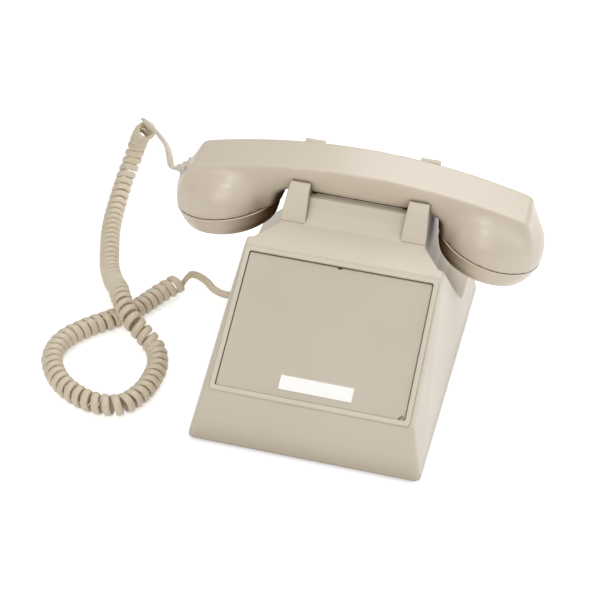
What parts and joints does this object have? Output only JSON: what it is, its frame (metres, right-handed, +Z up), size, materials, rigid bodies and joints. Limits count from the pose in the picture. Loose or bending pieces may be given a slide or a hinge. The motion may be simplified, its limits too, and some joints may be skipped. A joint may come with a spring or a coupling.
{
  "type": "corded desk telephone",
  "caption": "Corded desk telephone with a plain front panel instead of a dial, a handset across a cradle with hook plungers, and a curly cord.",
  "frame": {"origin": "on the table, below the middle of the telephone's bounding box without its cord", "axes": "+X to the right along the handset, +Y from the sloping face to the back, +Z up"},
  "size_m": [0.2926, 0.2492, 0.1143],
  "materials": {
    "housing_plastic": "moulded ivory beige plastic, satin to semi-gloss",
    "panel_plastic": "plain satin beige panel",
    "handset_plastic": "moulded ivory beige plastic, semi-gloss",
    "label_card": "bare white card, matt",
    "foot_rubber": "black rubber",
    "zinc_steel": "zinc plated steel, satin",
    "gong_brass": "lacquered brass",
    "clear_plastic": "milky clear plastic",
    "black_plastic": "black moulded plastic",
    "coil_wire": "wrapped coil, brown",
    "contact_brass": "brass terminals and springs",
    "cord_jacket": "flexible vinyl jacket, semi-gloss"
  },
  "bodies": {
    "base": {"base_plate": "zinc_steel", "foot_front_left": "foot_rubber", "foot_front_right": "foot_rubber", "foot_rear_left": "foot_rubber", "foot_rear_right": "foot_rubber", "housing": "housing_plastic", "housing_screws": "zinc_steel", "faceplate": "panel_plastic", "label_plate": "label_card", "hookswitch_bracket": "zinc_steel", "hookswitch_pin": "zinc_steel", "hookswitch_contacts": "contact_brass", "hookswitch_spring": "zinc_steel", "network_block": "black_plastic", "network_terminals": "contact_brass", "ringer_frame": "zinc_steel", "ringer_core": "zinc_steel", "ringer_coil": "coil_wire", "gong_left": "gong_brass", "gong_right": "gong_brass", "gong_screws": "zinc_steel", "loudness_bracket": "zinc_steel", "line_jack": "black_plastic", "base_jack": "black_plastic", "cord_lead_handset": "cord_jacket", "cord_coil": "cord_jacket", "cord_lead_base": "cord_jacket", "cord_plug_base": "clear_plastic"},
    "handset": {"handset_shell": "handset_plastic", "transmitter_cap": "handset_plastic", "receiver_cap": "handset_plastic", "transmitter_capsule": "zinc_steel", "receiver_capsule": "zinc_steel", "transmitter_contacts": "black_plastic", "handset_jack": "handset_plastic", "cord_plug_handset": "clear_plastic"},
    "plunger_left": {"hook_plunger_left": "clear_plastic"},
    "plunger_right": {"hook_plunger_right": "clear_plastic"},
    "hook_lever": {"hookswitch_lever": "zinc_steel"},
    "clapper": {"clapper": "zinc_steel"},
    "loudness_wheel": {"loudness_wheel": "panel_plastic"}
  },
  "joints": [
    {"name": "handset_lift", "type": "slide", "parent": "base", "child": "handset", "axis": [0, 0, 1], "range_m": [0, 0.08]},
    {"name": "plunger_left_slide", "type": "slide", "parent": "base", "child": "plunger_left", "axis": [0, 0, 1], "range_m": [0, 0.005]},
    {"name": "plunger_right_slide", "type": "slide", "parent": "base", "child": "plunger_right", "axis": [0, 0, 1], "range_m": [0, 0.005]},
    {"name": "hook_lever_tilt", "type": "hinge", "parent": "base", "child": "hook_lever", "pos_m": [0, 0.012, 0.07486], "axis": [1, 0, 0], "range_deg": [0, 8.8]},
    {"name": "clapper_swing", "type": "hinge", "parent": "base", "child": "clapper", "pos_m": [0, -0.034, 0.021], "axis": [0, 0, 1], "range_deg": [-3, 3], "stiffness_Nm_per_rad": 0.01},
    {"name": "loudness_turn", "type": "hinge", "parent": "base", "child": "loudness_wheel", "pos_m": [0.044, -0.03, 0.0115], "axis": [1, 0, 0], "range_deg": [0, 100]}
  ],
  "couplings": [
    {"joint": "plunger_left_slide", "follows": "handset_lift", "ratio": 0.0625},
    {"joint": "plunger_right_slide", "follows": "handset_lift", "ratio": 0.0625},
    {"joint": "hook_lever_tilt", "follows": "handset_lift", "rad_per_m": 1.9}
  ]
}
